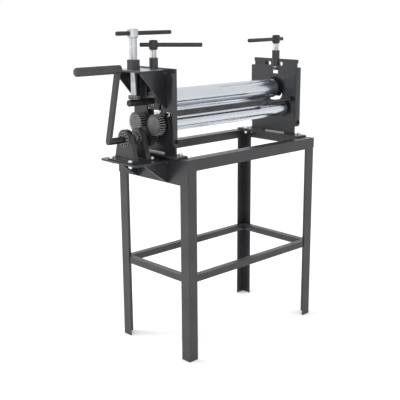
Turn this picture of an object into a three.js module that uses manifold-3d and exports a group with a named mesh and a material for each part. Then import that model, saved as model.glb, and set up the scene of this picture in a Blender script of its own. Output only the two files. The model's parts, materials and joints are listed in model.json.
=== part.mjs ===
// Hand-cranked three-roll plate bender on an angle-iron stand.
// Millimetres, +Z up. X runs along the rolls, Y from the operator's side to the rear.
// The origin lies on the floor under the middle of the whole machine, crank included.
import * as THREE from 'three';
import { mergeVertices } from 'three/addons/utils/BufferGeometryUtils.js';
import Module from 'manifold-3d';

const wasm = await Module();
wasm.setup();

// ---------------------------------------------------------------- driving dimensions
// X below is measured from the left face of the stand, and Y from the rolls' centre line.
// The machine group shifts both; the stand's middle lies a little behind that line.
const STAND_LEFT = -206.7;
const STAND_MIDDLE = 6;

const STAND = { width: 820, depth: 460, height: 900, leg: 50, wall: 4 };
const RAIL = { size: 30, wall: 2, top: 390 };
const APRON = { thick: 4, bottom: 788 };
const END_BEAM = { inner: 756, outer: 824, bottom: 854 };

const BASE = { thick: 8, front: -176, rear: 226, half: 32, leftMiddle: 12, rightMiddle: 790 };
const WEB = { thick: 8, leftInner: 20, rightInner: 786 };
const SIDE = {
  leftFront: -147, rightFront: -140, rear: 162, plainRear: 133, flange: 28, bend: 10, setback: 12,
  flangeBottom: 948, notchFront: -136, notchBottom: 1231, notchTop: 1250,
  topFront: -141, topRear: 137, top: 1268,
};
const BLOCK_WINDOW = {
  z: 1128, r: 50, bottom: 1067, bottomHalf: 30, chamferHalf: 46, chamferTop: 1089, top: 1177,
};
const SCREW_SLOT = { half: 18, bottom: 1196, bossHalf: 19.4, bossFrom: 1230 };
const SIGHT_HOLE = { r: 10, y: 37.5, z: 1244 };
const FOOT_SLOT = { half: 65, top: 914 };
const FLANGE_HOLE = { r: 6, distance: 14, z: 968 };

const TOP_ROLL = { r: 46, z: 1127, journal: 15, left: 42, right: 762 };
const LOWER_ROLL = { r: 35.5, y: 61.5, z: 1034.1, journal: 12.5, left: 32, right: 772 };
const BLOCK = { r: 44, boss: 46, cover: 53, bush: 24, bore: 15.5 };
const TAIL_BAR = { r: 14, end: -124, root: 9 };
const TIE_ROD = {
  r: 13, y: -114, z: 1081.5, thread: 6, left: -34, right: 814, collar: 17, collarStart: 590, collarEnd: 611,
};

const GEAR = {
  teeth: 26, module: 3.175, pressureAngle: 14.5 * Math.PI / 180, backlash: 1.2, addendum: 3.1, dedendum: 4.6,
  outer: -42, inner: -12, face: 6,
};
const PINION = { z: 979, outer: -40, inner: -14 };

const ARM = { x: -230, thick: 13, width: 26, tilt: -14 * Math.PI / 180, reach: 306 };
const SHAFT = { r: 14, end: 12, collar: 23, collarStart: -104, collarEnd: -90 };
const GRIP = { r: 17.5, end: -429, eyeEnd: -241, pin: 7, bore: 7.5 };

const BRACKET = { outer: -190, half: 120, top: 890, thick: 8, gusset: 99.5 };
const PEDESTAL = {
  outerFace: -152, innerFace: -86, plate: 21, foot: 66, head: 42, footTop: 895, bearing: 34,
};
const PEDESTAL_FOOT = { outer: -180, inner: -36, half: 78 };

const LIFT_SCREW = {
  r: 13.5, boss: 19, bossTop: 1307, bossBottom: 1231, head: 19, headBottom: 1339, headTop: 1380,
};
const LIFT_NOSE = { collar: 17, collarBottom: 1212, collarTop: 1218, neck: 10, shoulder: 1226 };
const LIFT_PLATE = { bottom: 1218.4, top: 1225.6 };
const LIFT_ARM = { from: 33, to: 43, inner: 12, outer: 18, bottom: 1146 };
const LIFT_BAR = { r: 9, z: 1360, hole: 9.4 };

const TAIL_PLATE = { outer: -122, half: 88, bottom: 1254, top: 1262 };
const TAIL_SCREW = {
  x: -92, r: 17, stem: 13, top: 1389, stemTop: 1254, stemBottom: 1158, headTop: 1428, head: 23,
};
const TAIL_BOSS = { halfX: 21, halfY: 20, top: 1304 };
const TAIL_T_BAR = { r: 9, z: 1410, hole: 9.4 };
const WASHER = { r: 25.5, bottom: 1142.4 };

const BOLT_HOLE = 5.5;

// ---------------------------------------------------------------- materials
const material = (color, roughness, metalness) =>
  new THREE.MeshStandardMaterial({ color, roughness, metalness });
const BLACK_PAINT = material(0x2f3133, 0.5, 0.2);
const BLACK_STEEL = material(0x1f2022, 0.55, 0.5);
const GREY_STEEL = material(0x77797b, 0.5, 0.8);
const BRIGHT_STEEL = material(0xc9ccd0, 0.25, 1.0);
const BLACK_PLASTIC = material(0x26272a, 0.7, 0.0);

// ---------------------------------------------------------------- solids and booleans
function solid(geometry) {
  const bare = geometry.clone();
  bare.deleteAttribute('normal');
  bare.deleteAttribute('uv');
  const merged = mergeVertices(bare, 1e-4);
  return new wasm.Manifold(new wasm.Mesh({
    numProp: 3,
    vertProperties: new Float32Array(merged.attributes.position.array),
    triVerts: new Uint32Array(merged.index.array),
  }));
}

function geometryOf(body) {
  const mesh = body.getMesh();
  const geometry = new THREE.BufferGeometry();
  geometry.setAttribute('position', new THREE.BufferAttribute(new Float32Array(mesh.vertProperties), 3));
  geometry.setIndex(new THREE.BufferAttribute(new Uint32Array(mesh.triVerts), 1));
  geometry.computeVertexNormals();
  return geometry;
}

const join = (...bodies) => bodies.reduce((whole, body) => whole.add(body));
const cut = (body, ...tools) => tools.reduce((rest, tool) => rest.subtract(tool), body);

function box(x0, x1, y0, y1, z0, z1) {
  const geometry = new THREE.BoxGeometry(Math.abs(x1 - x0), y1 - y0, z1 - z0);
  geometry.translate((x0 + x1) / 2, (y0 + y1) / 2, (z0 + z1) / 2);
  return solid(geometry);
}

function extruded(points, depth, xAxis, yAxis, zAxis, origin) {
  const shape = new THREE.Shape(points.map(([u, v]) => new THREE.Vector2(u, v)));
  const geometry = new THREE.ExtrudeGeometry(shape, { depth, bevelEnabled: false });
  const frame = new THREE.Matrix4().makeBasis(xAxis, yAxis, zAxis).setPosition(origin);
  geometry.applyMatrix4(frame);
  return solid(geometry);
}

const X = new THREE.Vector3(1, 0, 0);
const Y = new THREE.Vector3(0, 1, 0);
const Z = new THREE.Vector3(0, 0, 1);

// An outline in Y and Z, from x0 to x1.
const plateX = (points, x0, x1) => extruded(points, Math.abs(x1 - x0), Y, Z, X,
  new THREE.Vector3(Math.min(x0, x1), 0, 0));
// An outline in X and Z, from y0 to y1.
const plateY = (points, y0, y1) => extruded(points, y1 - y0, X, Z, Y.clone().negate(),
  new THREE.Vector3(0, y1, 0));
// An outline in X and Y, from z0 to z1.
const plateZ = (points, z0, z1) => extruded(points, z1 - z0, X, Y, Z, new THREE.Vector3(0, 0, z0));

// A turned piece: pairs of [distance along the axis, radius], starting and ending on the axis.
function turned(profile, sides = 24) {
  const points = profile.map(([along, radius]) => new THREE.Vector2(radius, along));
  return solid(new THREE.LatheGeometry(points, sides));
}

const turnedX = (profile, y, z, sides) => turned(profile, sides).rotate([0, 0, -90]).translate([0, y, z]);
const turnedZ = (profile, x, y, sides) => turned(profile, sides).rotate([90, 0, 0]).translate([x, y, 0]);

const rodProfile = (from, to, r) => [[from, 0], [from, r], [to, r], [to, 0]];
const rodX = (x0, x1, y, z, r, sides = 24) => turnedX(rodProfile(x0, x1, r), y, z, sides);
const rodZ = (x, y, z0, z1, r, sides = 24) => turnedZ(rodProfile(z0, z1, r), x, y, sides);
const rodY = (x, z, y0, y1, r, sides = 24) => turned(rodProfile(y0, y1, r), sides).translate([x, 0, z]);

const arc = (u, v, r, from, to, steps) => Array.from({ length: steps + 1 }, (_, i) => {
  const angle = (from + (to - from) * i / steps) * Math.PI / 180;
  return [u + r * Math.cos(angle), v + r * Math.sin(angle)];
});

// ---------------------------------------------------------------- scene graph
const machine = new THREE.Group();
machine.position.set(STAND_LEFT, -STAND_MIDDLE, 0);

function assembly() {
  const group = new THREE.Group();
  machine.add(group);
  return group;
}

function add(group, name, body, look) {
  const mesh = new THREE.Mesh(geometryOf(body), look);
  mesh.name = name;
  group.add(mesh);
}

const ENDS = [{ end: 'front', sign: -1 }, { end: 'rear', sign: 1 }];
const [FRONT] = ENDS;
const SIDES = [
  {
    side: 'left', inner: WEB.leftInner, outward: -1, front: SIDE.leftFront, webRear: SIDE.plainRear,
    flanged: [FRONT], flangeTop: SIDE.notchTop,
  },
  {
    side: 'right', inner: WEB.rightInner, outward: 1, front: SIDE.rightFront, webRear: SIDE.rear - SIDE.setback,
    flanged: ENDS, flangeTop: SIDE.notchBottom,
  },
];

// ---------------------------------------------------------------- stand
function legs(group) {
  const { width, depth, height, leg, wall } = STAND;
  for (const { end, sign } of ENDS) {
    const face = sign * depth / 2;
    const back = face - sign * wall;
    const edge = face - sign * leg;
    for (const [side, x, inboard, top] of [['left', 0, 1, height], ['right', width, -1, height - wall]]) {
      const alongX = box(x, x + inboard * leg, Math.min(face, back), Math.max(face, back), 0, top);
      const alongY = box(x, x + inboard * wall, Math.min(face, edge), Math.max(face, edge), 0, top);
      add(group, `leg_${end}_${side}`, join(alongX, alongY), BLACK_PAINT);
    }
  }
}

function topBeams(group, bolts) {
  const { width, depth, height, leg, wall } = STAND;
  const flangeBottom = height - wall;
  for (const { end, sign } of ENDS) {
    const y = (distance) => sign * (depth / 2 - distance);
    const span = (from, to) => [Math.min(y(from), y(to)), Math.max(y(from), y(to))];
    const web = box(leg, width - leg, ...span(0, wall), height - leg, flangeBottom);
    const flange = box(leg, END_BEAM.inner, ...span(0, leg), flangeBottom, height);
    const corner = box(wall, leg, ...span(wall, leg), flangeBottom, height);
    add(group, `top_beam_${end}`, join(web, flange, corner), BLACK_PAINT);
  }
  const inner = depth / 2 - leg;
  const leftWeb = box(0, wall, -inner, inner, height - leg, flangeBottom);
  const leftFlange = box(0, leg, -inner, inner, flangeBottom, height);
  add(group, 'top_beam_left', cut(join(leftWeb, leftFlange), ...bolts), BLACK_PAINT);
  const rightFlange = box(END_BEAM.inner, END_BEAM.outer, -depth / 2, depth / 2, flangeBottom, height);
  const rightWeb = box(width, END_BEAM.outer, -depth / 2, depth / 2, END_BEAM.bottom, flangeBottom);
  add(group, 'top_beam_right', cut(join(rightWeb, rightFlange), ...bolts), BLACK_PAINT);
}

// A square tube with both ends cut at 45 degrees, open at both ends.
function mitredTube(length) {
  const { size, wall } = RAIL;
  const ring = (inset) => {
    const far = size - inset;
    return [[inset, inset], [far, inset], [far, far], [inset, far]];
  };
  const shape = new THREE.Shape(ring(0).map(([u, v]) => new THREE.Vector2(u, v)));
  shape.holes.push(new THREE.Path(ring(wall).map(([u, v]) => new THREE.Vector2(u, v))));
  const geometry = new THREE.ExtrudeGeometry(shape, { depth: length, bevelEnabled: false });
  const position = geometry.attributes.position;
  for (let i = 0; i < position.count; i += 1) {
    const across = position.getX(i);
    const along = position.getZ(i);
    position.setZ(i, along < length / 2 ? along + across : along - across);
  }
  return geometry;
}

function lowerRails(group) {
  const { width, depth, wall } = STAND;
  const long = width - 2 * wall;
  const short = depth - 2 * wall;
  const places = [
    ['rail_front', long, [wall, -short / 2], X, Y],
    ['rail_rear', long, [width - wall, short / 2], X.clone().negate(), Y.clone().negate()],
    ['rail_left', short, [wall, short / 2], Y.clone().negate(), X],
    ['rail_right', short, [width - wall, -short / 2], Y, X.clone().negate()],
  ];
  for (const [name, length, [x, y], along, across] of places) {
    const geometry = mitredTube(length);
    const up = new THREE.Vector3().crossVectors(along, across);
    const z = up.z > 0 ? RAIL.top - RAIL.size : RAIL.top;
    const frame = new THREE.Matrix4().makeBasis(across, up, along).setPosition(x, y, z);
    add(group, name, solid(geometry.applyMatrix4(frame)), BLACK_PAINT);
  }
}

function apron(group) {
  const plate = box(-APRON.thick, 0, -STAND.depth / 2, STAND.depth / 2, APRON.bottom, STAND.height);
  add(group, 'apron_plate', plate, BLACK_PAINT);
}

// ---------------------------------------------------------------- bolt holes
const BASE_BOLTS = [[36.5, -140], [36.5, 177], [811.5, -140], [768, 177], [811.5, 177]];
const FOOT_BOLTS = [-171, -54].flatMap((x) => [-63.5, 63.5].map((y) => [x, y]));
const boltHoles = (places) => places.map(([x, y]) => rodZ(x, y, 850, 950, BOLT_HOLE, 12));

// ---------------------------------------------------------------- side plates and base plates
function basePlates(group) {
  for (const [side, middle] of [['left', BASE.leftMiddle], ['right', BASE.rightMiddle]]) {
    const plate = box(middle - BASE.half, middle + BASE.half, BASE.front, BASE.rear,
      STAND.height, STAND.height + BASE.thick);
    add(group, `base_plate_${side}`, cut(plate, ...boltHoles(BASE_BOLTS)), BLACK_PAINT);
  }
}

function windowOutline() {
  const { z, r, bottom, bottomHalf, chamferHalf, chamferTop, top } = BLOCK_WINDOW;
  const upper = Math.asin((top - z) / r) * 180 / Math.PI;
  const right = arc(0, z, r, -13, upper, 8);
  const left = right.map(([y, height]) => [-y, height]).reverse();
  return [[-bottomHalf, bottom], [bottomHalf, bottom], [chamferHalf, chamferTop], ...right,
    ...left, [-chamferHalf, chamferTop]];
}

// One flange with its bend, seen from above: distances outward from the web's inner face
// and depths inward from the flange's own face.
function flangeOutline(x, sign, face) {
  const { flange, bend, setback } = SIDE;
  const root = setback + 1;
  const outside = arc(bend, bend, bend, 270, 180, 6);
  const inside = arc(bend, bend, bend - WEB.thick, 180, 270, 4);
  const outline = [[flange, 0], ...outside, [0, root], [WEB.thick, root], ...inside, [flange, WEB.thick]];
  return outline.map(([distance, depth]) => [x(distance), face - sign * depth]);
}

// The flanges' outline seen from the front, with the free edge's corners rounded.
function flangeTrim(x, flangeTop) {
  const { flange, flangeBottom } = SIDE;
  const r = 12;
  const outline = [[-1, flangeBottom], ...arc(flange - r, flangeBottom + r, r, 270, 360, 5),
    ...arc(flange - 4, flangeTop - 4, 4, 0, 90, 3), [-1, flangeTop]];
  return plateY(outline.map(([distance, z]) => [x(distance), z]), -200, 200);
}

function sidePlates(group) {
  const { rear, plainRear, setback, flangeBottom, notchFront, notchBottom, notchTop } = SIDE;
  const { topFront, topRear, top } = SIDE;
  const bottom = STAND.height + BASE.thick;
  for (const { side, inner, outward, front, flanged, flangeTop, webRear } of SIDES) {
    const x = (distance) => inner + outward * distance;
    const webFront = front + setback;
    const webOutline = [[webFront, bottom], [webRear, bottom], [webRear, notchBottom],
      [plainRear, notchBottom], [plainRear, notchTop], [topRear, notchTop], [topRear, top], [topFront, top],
      [topFront, notchTop], [notchFront, notchTop], [notchFront, notchBottom], [webFront, notchBottom]];
    const through = (outline) => plateX(outline, x(-5), x(20));
    const hole = (y, z, r) => rodX(Math.min(x(-5), x(20)), Math.max(x(-5), x(20)), y, z, r, 24);
    const slot = (half, z0, z1) => through([[-half, z0], [half, z0], [half, z1], [-half, z1]]);
    const web = plateX(webOutline, x(0), x(WEB.thick));
    const flanges = flanged.map(({ sign }) => {
      const outline = flangeOutline(x, sign, sign < 0 ? front : rear);
      return plateZ(outline, flangeBottom, flangeTop).intersect(flangeTrim(x, flangeTop));
    });
    const boltHole = rodY(x(FLANGE_HOLE.distance), FLANGE_HOLE.z, front - 5, front + 12, FLANGE_HOLE.r, 16);
    const plate = cut(
      join(web, ...flanges),
      through(windowOutline()),
      slot(SCREW_SLOT.half, SCREW_SLOT.bottom, top + 5),
      slot(SCREW_SLOT.bossHalf, SCREW_SLOT.bossFrom, top + 5),
      slot(FOOT_SLOT.half, STAND.height, FOOT_SLOT.top),
      hole(SIGHT_HOLE.y, SIGHT_HOLE.z, SIGHT_HOLE.r),
      hole(-SIGHT_HOLE.y, SIGHT_HOLE.z, SIGHT_HOLE.r),
      hole(LOWER_ROLL.y, LOWER_ROLL.z, LOWER_BEARING.bossR + 0.6),
      hole(-LOWER_ROLL.y, LOWER_ROLL.z, LOWER_BEARING.bossR + 0.6),
      hole(TIE_ROD.y, TIE_ROD.z, TIE_ROD.thread + 0.4),
      ...(side === 'left' ? [hole(0, PINION.z, SHAFT_BUSH.bossR + 0.6)] : []),
      boltHole,
    );
    add(group, `side_plate_${side}`, plate, BLACK_PAINT);
  }
}

// ---------------------------------------------------------------- bearings fixed in the side plates
const LOWER_BEARING = { recess: 5, bossR: 40, flangeR: 44, flangeThick: 6, bore: 13 };
const SHAFT_BUSH = { recess: 0.5, bossR: 20, flangeR: 24, flangeThick: 3, bore: 14.5 };

// A flanged ring: its boss sits in the web, its flange lies on the web's outer face.
function flangedRing(x, { recess, bossR, flangeR, flangeThick, bore }) {
  const profile = [[recess, bore], [recess, bossR], [WEB.thick + 0.3, bossR], [WEB.thick + 0.3, flangeR],
    [WEB.thick + flangeThick - 2, flangeR], [WEB.thick + flangeThick, flangeR - 2],
    [WEB.thick + flangeThick, bore], [recess, bore]];
  return profile.map(([distance, r]) => [x(distance), r]);
}

function lowerBearings(group) {
  for (const { side, inner, outward } of SIDES) {
    const x = (distance) => inner + outward * distance;
    for (const { end, sign } of ENDS) {
      const profile = flangedRing(x, LOWER_BEARING);
      const ring = turnedX(outward > 0 ? profile : profile.reverse(), sign * LOWER_ROLL.y, LOWER_ROLL.z);
      add(group, `lower_bearing_${end}_${side}`, ring, BLACK_STEEL);
    }
  }
  const x = (distance) => WEB.leftInner - distance;
  const profile = flangedRing(x, SHAFT_BUSH).reverse();
  add(group, 'crank_shaft_bush', turnedX(profile, 0, PINION.z), GREY_STEEL);
}

function tieRod(group) {
  const { r, y, z, thread, left, right, collar, collarStart, collarEnd } = TIE_ROD;
  const shoulder = WEB.leftInner + 0.3;
  const profile = [[left, 0], [left, thread], [shoulder, thread], [shoulder, r], [collarStart, r],
    [collarStart, collar], [collarEnd, collar], [collarEnd, thread], [right, thread], [right, 0]];
  add(group, 'tie_rod', turnedX(profile, y, z, 20), BLACK_STEEL);
}

// ---------------------------------------------------------------- tail support
// A shelf seen from above: square at the root, with its two outer corners rounded.
function shelfOutline(root, outer, half) {
  const r = 13;
  return [[root, -half], [root, half], ...arc(outer + r, half - r, r, 90, 180, 4),
    ...arc(outer + r, r - half, r, 180, 270, 4)];
}

function tailSupport(group) {
  const { outer, half, bottom, top } = TAIL_PLATE;
  const webFace = WEB.leftInner - WEB.thick;
  const screwX = WEB.leftInner - WEB.thick / 2;
  const outline = shelfOutline(webFace, outer, half).map(([x, y]) => [x, STAND_MIDDLE + y]);
  const plate = cut(plateZ(outline, bottom, top),
    rodZ(screwX, 0, bottom - 5, top + 5, LIFT_SCREW.boss + 0.5),
    rodZ(TAIL_SCREW.x, 0, bottom - 5, top + 5, TAIL_SCREW.r + 0.5));
  add(group, 'tail_top_plate', plate, BLACK_PAINT);
  const gusset = [[webFace, 1097], [webFace, 1242], [webFace - 12, 1242], [webFace - 12, bottom],
    [outer + 2, bottom], [outer + 2, bottom - 6]];
  for (const { end, sign } of ENDS) {
    const y = STAND_MIDDLE + sign * (half - 5);
    add(group, `tail_gusset_${end}`, plateY(gusset, y - 4, y + 4), BLACK_PAINT);
  }
  const { halfX, halfY, top: bossTop } = TAIL_BOSS;
  const chamfer = 4;
  const boss = [[-halfX, -halfY + chamfer], [-halfX + chamfer, -halfY], [halfX - chamfer, -halfY],
    [halfX, -halfY + chamfer], [halfX, halfY - chamfer], [halfX - chamfer, halfY],
    [-halfX + chamfer, halfY], [-halfX, halfY - chamfer]].map(([dx, y]) => [TAIL_SCREW.x + dx, y]);
  add(group, 'tail_screw_boss', cut(plateZ(boss, top, bossTop),
    rodZ(TAIL_SCREW.x, 0, top - 5, bossTop + 5, TAIL_SCREW.r + 0.5)), BLACK_PAINT);
}

function liftBosses(group) {
  for (const { side, inner, outward } of SIDES) {
    const x = inner + outward * WEB.thick / 2;
    const { boss, bossBottom, bossTop, r } = LIFT_SCREW;
    const tube = cut(rodZ(x, 0, bossBottom, bossTop, boss), rodZ(x, 0, bossBottom - 5, bossTop + 5, r + 0.6));
    add(group, `lift_screw_boss_${side}`, tube, BLACK_PAINT);
  }
}

// ---------------------------------------------------------------- crank bracket and pedestal
function crankBracket(group) {
  const { outer, half, top, thick } = BRACKET;
  const apronFace = -APRON.thick;
  const outline = shelfOutline(apronFace, outer, half);
  add(group, 'bracket_plate', cut(plateZ(outline, top - thick, top), ...boltHoles(FOOT_BOLTS)), BLACK_PAINT);
  const under = top - thick;
  const gusset = [[apronFace, 791], [apronFace, under - 14], [apronFace - 14, under], [-130, under],
    [-130, under - 6], [apronFace - 8, 791]];
  for (const { end, sign } of ENDS) {
    const y = sign * BRACKET.gusset;
    add(group, `bracket_gusset_${end}`, plateY(gusset, y - 4, y + 4), BLACK_PAINT);
  }
}

function pedestalOutline() {
  const { foot, head, footTop } = PEDESTAL;
  const lean = 72;
  const lower = 900;
  return [[-foot, footTop], [foot, footTop], [foot - 2, lower],
    ...arc(0, PINION.z, head, 90 - lean, 90 + lean, 14), [2 - foot, lower]];
}

function pedestal(group) {
  const { outerFace, innerFace, plate, bearing, footTop } = PEDESTAL;
  const { outer, inner, half } = PEDESTAL_FOOT;
  const foot = box(outer, inner, -half, half, BRACKET.top, footTop);
  add(group, 'pedestal_foot', cut(foot, ...boltHoles(FOOT_BOLTS)), BLACK_PAINT);
  const r = bearing - 4;
  for (const [name, face] of [['outer', outerFace], ['inner', innerFace]]) {
    const bore = rodX(face - 5, face + plate + 5, 0, PINION.z, bearing - 3.6);
    const body = plateX(pedestalOutline(), face, face + plate);
    add(group, `pedestal_plate_${name}`, cut(body, bore), BLACK_PAINT);
    const ring = [[-3, SHAFT.r + 0.5], [-3, SHAFT.r + 4], [-1.5, SHAFT.r + 6], [-1.5, bearing - 6],
      [-3, bearing - 4], [-3, bearing], [-0.3, bearing], [-0.3, r], [plate, r], [plate, SHAFT.r + 0.5],
      [-3, SHAFT.r + 0.5]].map(([depth, radius]) => [face + depth, radius]);
    add(group, `pedestal_bearing_${name}`, turnedX(ring, 0, PINION.z), GREY_STEEL);
  }
}

// ---------------------------------------------------------------- gears, crank and grip
const PITCH_ANGLE = 2 * Math.PI / GEAR.teeth;

// A spur gear's outline, with one tooth's middle at the angle phase.
function gearOutline(y, z, phase) {
  const { teeth, module, pressureAngle, backlash, addendum, dedendum } = GEAR;
  const pitchRadius = teeth * module / 2;
  const slope = Math.tan(pressureAngle);
  const halfThickness = (Math.PI * module / 2 - backlash) / 2;
  const flank = [-dedendum, addendum].map((height) => {
    const radius = pitchRadius + height;
    return [radius, (halfThickness - slope * height) / radius];
  });
  const tooth = [...flank.map(([r, a]) => [r, -a]), ...flank.map(([r, a]) => [r, a]).reverse()];
  const outline = [];
  for (let i = 0; i < teeth; i += 1) {
    for (const [radius, angle] of tooth) {
      const turn = phase + i * PITCH_ANGLE + angle;
      outline.push([y + radius * Math.cos(turn), z + radius * Math.sin(turn)]);
    }
  }
  return outline;
}

function gear(y, z, phase, x0, x1, bore) {
  return cut(plateX(gearOutline(y, z, phase), x0, x1), rodX(bore.start, x1 + 5, y, z, bore.r, 24));
}

// The phase that puts a gap of a driven gear on the pinion's tooth.
function meshedPhase(y, z, pinionPhase) {
  const line = Math.atan2(z - PINION.z, y);
  const lead = pinionPhase - line;
  return line + Math.PI - lead + PITCH_ANGLE / 2;
}

function gears(group) {
  const pinionPhase = Math.atan2(LOWER_ROLL.z - PINION.z, LOWER_ROLL.y);
  const blindBore = { r: LOWER_ROLL.journal + 0.5, start: GEAR.outer + GEAR.face };
  for (const { end, sign } of ENDS) {
    const y = sign * LOWER_ROLL.y;
    const phase = meshedPhase(y, LOWER_ROLL.z, pinionPhase);
    const body = gear(y, LOWER_ROLL.z, phase, GEAR.outer, GEAR.inner, blindBore);
    add(group, `roll_gear_${end}`, body, GREY_STEEL);
  }
  const throughBore = { r: SHAFT.r + 0.5, start: PINION.outer - 5 };
  const pinion = gear(0, PINION.z, pinionPhase, PINION.outer, PINION.inner, throughBore);
  add(group, 'drive_pinion', pinion, BLACK_STEEL);
}

function crank(group) {
  const { x, thick, width, tilt, reach } = ARM;
  const outerFace = x - thick / 2;
  const innerFace = x + thick / 2;
  const { r: shaftR, end: shaftEnd, collar, collarStart, collarEnd } = SHAFT;
  const shaft = [[innerFace, 0], [innerFace, shaftR], [collarStart, shaftR], [collarStart, collar - 3],
    [collarStart + 3, collar], [collarEnd, collar], [collarEnd, shaftR], [shaftEnd, shaftR], [shaftEnd, 0]];
  add(group, 'crank_shaft', turnedX(shaft, 0, PINION.z), BLACK_STEEL);
  const half = width / 2;
  const bar = [...arc(0, 0, half, 180, 360, 8), ...arc(0, reach, half, 0, 180, 8)];
  const [c, s] = [Math.cos(tilt), Math.sin(tilt)];
  const turn = ([y, z]) => [y * c + z * s, z * c - y * s + PINION.z];
  const [gripY, gripZ] = turn([0, reach]);
  const flat = plateX(bar.map(turn), outerFace, innerFace);
  const eye = rodX(GRIP.eyeEnd, innerFace + 3, gripY, gripZ, GRIP.r);
  const pin = rodX(GRIP.end + 14, GRIP.eyeEnd + 2, gripY, gripZ, GRIP.pin);
  add(group, 'crank_arm', join(flat, eye, pin), BLACK_PAINT);
  const { r, end, eyeEnd, bore } = GRIP;
  const sleeve = turnedX([[end, 0], [end, r - 3], [end + 3, r], [eyeEnd - 0.6, r], [eyeEnd - 0.6, bore],
    [end + 12, bore], [end + 12, 0]], gripY, gripZ);
  add(group, 'crank_grip', sleeve, BLACK_PLASTIC);
}

// ---------------------------------------------------------------- rolls
function rolls(group) {
  const { left, right, r, journal, y, z } = LOWER_ROLL;
  for (const { end, sign } of ENDS) {
    const stub = { start: GEAR.outer + GEAR.face + 0.5, end: WEB.rightInner + WEB.thick + 6 };
    const profile = [[stub.start, 0], [stub.start, journal], [left, journal], [left, r - 1.5],
      [left + 1.5, r], [right - 1.5, r], [right, r - 1.5], [right, journal], [stub.end, journal],
      [stub.end, 0]];
    add(group, `lower_roll_${end}`, turnedX(profile, sign * y, z, 32), BRIGHT_STEEL);
  }
  const top = TOP_ROLL;
  const journals = { start: TAIL_BAR.root, end: WEB.rightInner + WEB.thick + 8 };
  const profile = [[journals.start, 0], [journals.start, top.journal], [top.left, top.journal],
    [top.left, top.r - 2], [top.left + 2, top.r], [top.right - 2, top.r], [top.right, top.r - 2],
    [top.right, top.journal], [journals.end, top.journal], [journals.end, 0]];
  add(group, 'top_roll', turnedX(profile, 0, top.z, 40), BRIGHT_STEEL);
  const { end, root, r: barR } = TAIL_BAR;
  const bar = turnedX([[end, 0], [end, barR - 2], [end + 2, barR], [root, barR], [root, 0]], 0, top.z);
  add(group, 'top_roll_tail_bar', bar, BLACK_STEEL);
}

// ---------------------------------------------------------------- roll carriage
function carriage(group) {
  for (const { side, inner, outward } of SIDES) {
    const x = (distance) => inner + outward * distance;
    const span = (a, b) => [Math.min(x(a), x(b)), Math.max(x(a), x(b))];
    const round = (from, to, r) => rodX(...span(from, to), 0, TOP_ROLL.z, r, 48);
    const below = box(...span(-12, 20), -BLOCK.cover, BLOCK.cover, 1000, BLOCK_WINDOW.chamferTop);
    const above = box(...span(-3, 20), -BLOCK.cover, BLOCK.cover, BLOCK_WINDOW.top - 1, 1300);
    const body = join(cut(round(-2, 12, BLOCK.r), above), round(-5, -1, BLOCK.cover),
      round(-10, -4, BLOCK.boss), round(11, 13, BLOCK.bush));
    add(group, `bearing_block_${side}`, cut(body, below, round(-15, 20, BLOCK.bore)), BLACK_PAINT);
    const { from, to, inner: d0, outer: d1, bottom } = LIFT_ARM;
    const arms = ENDS.map(({ sign }) => box(...span(d0, d1), Math.min(sign * from, sign * to),
      Math.max(sign * from, sign * to), bottom, LIFT_PLATE.top));
    const stem = box(...span(-7, d0 + 1), -16, 16, LIFT_PLATE.bottom, LIFT_PLATE.top);
    const head = box(...span(d0, d1), -to, to, LIFT_PLATE.bottom, LIFT_PLATE.top);
    const neckGap = LIFT_NOSE.neck + 0.5;
    const throat = join(box(...span(-9, 4), -neckGap, neckGap, LIFT_PLATE.bottom - 2, LIFT_PLATE.top + 2),
      rodZ(x(4), 0, LIFT_PLATE.bottom - 2, LIFT_PLATE.top + 2, neckGap, 24));
    add(group, `lift_bridge_${side}`, cut(join(...arms, stem, head), throat), BLACK_STEEL);
  }
}

function tBar(length, long, r) {
  const short = length - long;
  return turned([[-short, 0], [-short, r - 2], [2 - short, r], [long - 2, r], [long, r - 2], [long, 0]], 20)
    .rotate([0, 0, -90]);
}

function liftScrews(group) {
  const bars = {
    left: { length: 262, long: 205, heading: -45 },
    right: { length: 269, long: 217, heading: 185.6 },
  };
  for (const { side, inner, outward } of SIDES) {
    const x = inner + outward * WEB.thick / 2;
    const { r, headBottom, headTop, head } = LIFT_SCREW;
    const { collar, collarBottom, collarTop, neck, shoulder } = LIFT_NOSE;
    const screw = turnedZ([[collarBottom, 0], [collarBottom, collar], [collarTop, collar], [collarTop, neck],
      [shoulder, neck], [shoulder, r], [headBottom, r], [headBottom, 0]], x, 0);
    add(group, `lift_screw_${side}`, screw, BRIGHT_STEEL);
    const { length, long, heading } = bars[side];
    const { z, hole } = LIFT_BAR;
    const block = turnedZ([[headBottom, 0], [headBottom, head - 4], [headBottom + 5, head],
      [headTop - 5, head], [headTop, head - 4], [headTop, 0]], x, 0);
    const bore = rodX(-40, 40, 0, 0, hole, 20).rotate([0, 0, heading]).translate([x, 0, z]);
    add(group, `lift_screw_head_${side}`, cut(block, bore), BLACK_STEEL);
    const bar = tBar(length, long, LIFT_BAR.r).rotate([0, 0, heading]).translate([x, 0, z]);
    add(group, `lift_t_bar_${side}`, bar, BLACK_STEEL);
  }
}

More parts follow.
